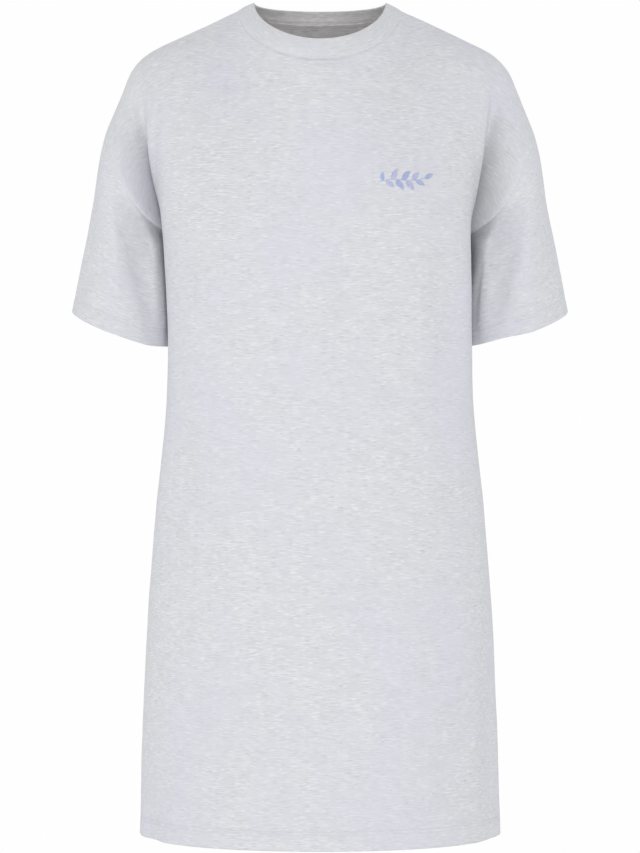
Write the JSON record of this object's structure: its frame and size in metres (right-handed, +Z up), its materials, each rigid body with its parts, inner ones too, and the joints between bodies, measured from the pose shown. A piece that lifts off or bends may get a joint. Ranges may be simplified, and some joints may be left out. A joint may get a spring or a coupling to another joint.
{
  "type": "nightshirt",
  "caption": "Oversized short-sleeved jersey nightshirt with dropped shoulders and a crew neckband, hollow as worn, open at neck, cuffs and hem.",
  "frame": {"origin": "where the wearer's shoulders hold it: midway between the two neck points of the shoulder seams", "axes": "+Z up, the wearer faces -Y, and +X is on the right as one looks at the front"},
  "size_m": [0.5364, 0.262, 0.8901],
  "materials": {
    "front": "fine melange jersey, matt",
    "back": "fine melange jersey, matt",
    "sleeve_left": "fine melange jersey, matt",
    "sleeve_right": "fine melange jersey, matt",
    "neckband": "fine melange jersey folded double, matt"
  },
  "bodies": {
    "root": {"front": "front", "back": "back", "sleeve_left": "sleeve_left", "sleeve_right": "sleeve_right", "neckband": "neckband"}
  },
  "joints": []
}
